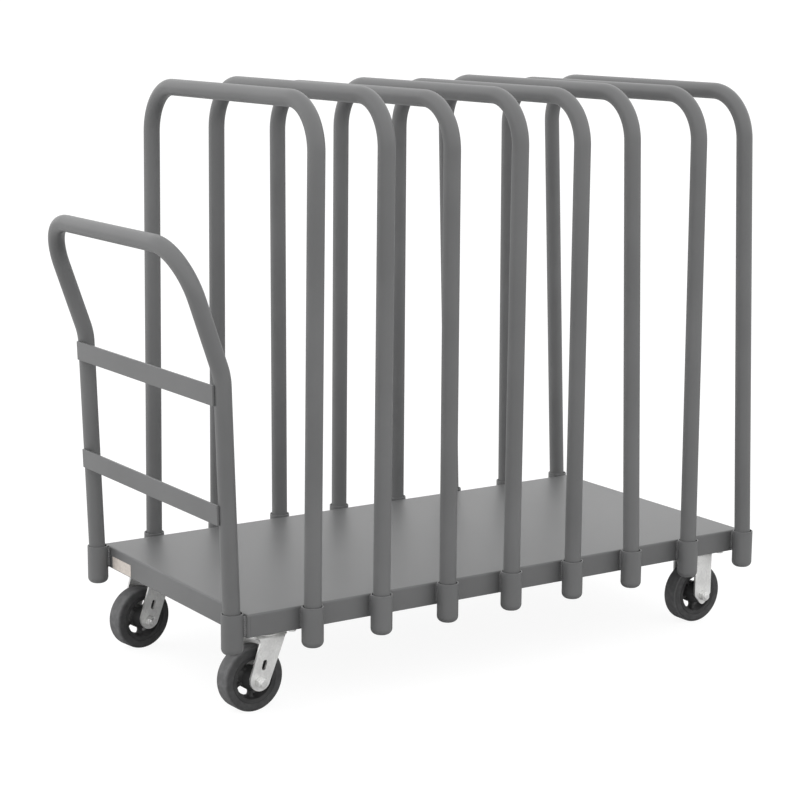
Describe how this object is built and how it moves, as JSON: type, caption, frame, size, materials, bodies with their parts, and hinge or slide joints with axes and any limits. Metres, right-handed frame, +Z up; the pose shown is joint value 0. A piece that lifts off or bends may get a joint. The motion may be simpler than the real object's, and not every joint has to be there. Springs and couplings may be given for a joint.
{
  "type": "sheet goods cart",
  "caption": "Steel platform cart with upright lift-out pipe loops that hold sheet goods on edge, a push handle at one end, and swivel and rigid casters.",
  "frame": {"origin": "on the floor, under the middle of the cart's bounding box", "axes": "+X along the deck away from the handle, +Y across the deck, +Z up"},
  "size_m": [1.3634, 0.6946, 1.1662],
  "materials": {
    "paint": "satin grey powder coat",
    "zinc": "bright zinc plate",
    "iron": "dark painted casting",
    "rubber": "matt moulded rubber"
  },
  "bodies": {
    "frame": {"deck": "paint", "bolster_handle_end": "paint", "bolster_far_end": "paint", "socket_near_1": "paint", "socket_far_1": "paint", "socket_near_2": "paint", "socket_far_2": "paint", "socket_near_3": "paint", "socket_far_3": "paint", "socket_near_4": "paint", "socket_far_4": "paint", "socket_near_5": "paint", "socket_far_5": "paint", "socket_near_6": "paint", "socket_far_6": "paint", "socket_near_7": "paint", "socket_far_7": "paint", "socket_near_8": "paint", "socket_far_8": "paint", "socket_handle_near": "paint", "socket_handle_far": "paint", "swivel_near_plate": "zinc", "swivel_near_kingpin": "zinc", "rigid_near_fork": "zinc", "rigid_near_sleeve": "zinc", "rigid_near_axle_bolt": "zinc", "rigid_near_axle_nut": "zinc", "swivel_far_plate": "zinc", "swivel_far_kingpin": "zinc", "rigid_far_fork": "zinc", "rigid_far_sleeve": "zinc", "rigid_far_axle_bolt": "zinc", "rigid_far_axle_nut": "zinc"},
    "loop_1_body": {"loop_1": "paint"},
    "loop_2_body": {"loop_2": "paint"},
    "loop_3_body": {"loop_3": "paint"},
    "loop_4_body": {"loop_4": "paint"},
    "loop_5_body": {"loop_5": "paint"},
    "loop_6_body": {"loop_6": "paint"},
    "loop_7_body": {"loop_7": "paint"},
    "loop_8_body": {"loop_8": "paint"},
    "handle_body": {"handle_tube": "paint", "handle_bar_upper": "paint", "handle_bar_lower": "paint"},
    "swivel_near_body": {"swivel_near_fork": "zinc", "swivel_near_sleeve": "zinc", "swivel_near_axle_bolt": "zinc", "swivel_near_axle_nut": "zinc"},
    "swivel_near_wheel": {"swivel_near_hub": "iron", "swivel_near_tyre": "rubber"},
    "rigid_near_wheel": {"rigid_near_hub": "iron", "rigid_near_tyre": "rubber"},
    "swivel_far_body": {"swivel_far_fork": "zinc", "swivel_far_sleeve": "zinc", "swivel_far_axle_bolt": "zinc", "swivel_far_axle_nut": "zinc"},
    "swivel_far_wheel": {"swivel_far_hub": "iron", "swivel_far_tyre": "rubber"},
    "rigid_far_wheel": {"rigid_far_hub": "iron", "rigid_far_tyre": "rubber"}
  },
  "joints": [
    {"name": "swivel_near_turn", "type": "hinge", "parent": "frame", "child": "swivel_near_body", "pos_m": [-0.47349, -0.23495, 0.1651], "axis": [0, 0, 1], "continuous": true},
    {"name": "swivel_near_spin", "type": "hinge", "parent": "swivel_near_body", "child": "swivel_near_wheel", "pos_m": [-0.50206, -0.2362, 0.0635], "axis": [-0.0436, 0.999, 0], "continuous": true},
    {"name": "rigid_near_spin", "type": "hinge", "parent": "frame", "child": "rigid_near_wheel", "pos_m": [0.60171, -0.23495, 0.0635], "axis": [0, 1, 0], "continuous": true},
    {"name": "swivel_far_turn", "type": "hinge", "parent": "frame", "child": "swivel_far_body", "pos_m": [-0.47349, 0.23495, 0.1651], "axis": [0, 0, 1], "continuous": true},
    {"name": "swivel_far_spin", "type": "hinge", "parent": "swivel_far_body", "child": "swivel_far_wheel", "pos_m": [-0.50181, 0.23097, 0.0635], "axis": [-0.1392, 0.9903, 0], "continuous": true},
    {"name": "rigid_far_spin", "type": "hinge", "parent": "frame", "child": "rigid_far_wheel", "pos_m": [0.60171, 0.23495, 0.0635], "axis": [0, 1, 0], "continuous": true},
    {"name": "loop_1_lift", "type": "slide", "parent": "frame", "child": "loop_1_body", "axis": [0.0093, 0, 1], "range_m": [0, 0.12]},
    {"name": "loop_2_lift", "type": "slide", "parent": "frame", "child": "loop_2_body", "axis": [0.0056, 0, 1], "range_m": [0, 0.12]},
    {"name": "loop_3_lift", "type": "slide", "parent": "frame", "child": "loop_3_body", "axis": [-0.0023, 0, 1], "range_m": [0, 0.12]},
    {"name": "loop_4_lift", "type": "slide", "parent": "frame", "child": "loop_4_body", "axis": [0.0037, 0, 1], "range_m": [0, 0.12]},
    {"name": "loop_5_lift", "type": "slide", "parent": "frame", "child": "loop_5_body", "axis": [0, 0, 1], "range_m": [0, 0.12]},
    {"name": "loop_6_lift", "type": "slide", "parent": "frame", "child": "loop_6_body", "axis": [-0.032, 0, 0.9995], "range_m": [0, 0.12]},
    {"name": "loop_7_lift", "type": "slide", "parent": "frame", "child": "loop_7_body", "axis": [-0.0088, 0, 1], "range_m": [0, 0.12]},
    {"name": "loop_8_lift", "type": "slide", "parent": "frame", "child": "loop_8_body", "axis": [-0.0435, 0, 0.9991], "range_m": [0, 0.12]},
    {"name": "handle_lift", "type": "slide", "parent": "frame", "child": "handle_body", "axis": [-0.0341, 0, 0.9994], "range_m": [0, 0.12]}
  ]
}
